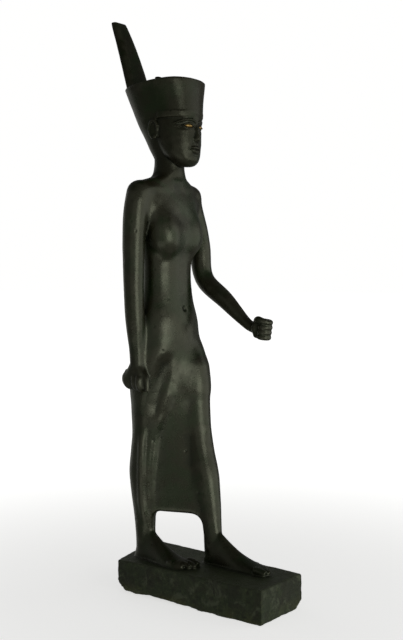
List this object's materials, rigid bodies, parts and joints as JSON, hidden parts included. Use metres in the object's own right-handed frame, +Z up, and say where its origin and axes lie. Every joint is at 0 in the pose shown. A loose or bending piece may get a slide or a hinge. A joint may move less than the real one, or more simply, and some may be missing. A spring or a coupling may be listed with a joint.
{
  "type": "statuette",
  "caption": "Cast bronze statuette of a striding goddess in a tight dress and the flat-topped red crown, on an uneven plinth, with gold-inlaid eyes.",
  "frame": {"origin": "on the plinth's flat underside, below the middle of the stride", "axes": "+Z up, the figure faces -Y and its own left side is towards +X"},
  "size_m": [0.0396, 0.0711, 0.1998],
  "materials": {
    "bronze": "cast bronze with a dark brown-green patina, half glossy from wear",
    "gold_inlay": "hammered gold, dulled"
  },
  "bodies": {
    "root": {"statuette": "bronze", "right_eye_inlay": "gold_inlay", "left_eye_inlay": "gold_inlay"}
  },
  "joints": []
}
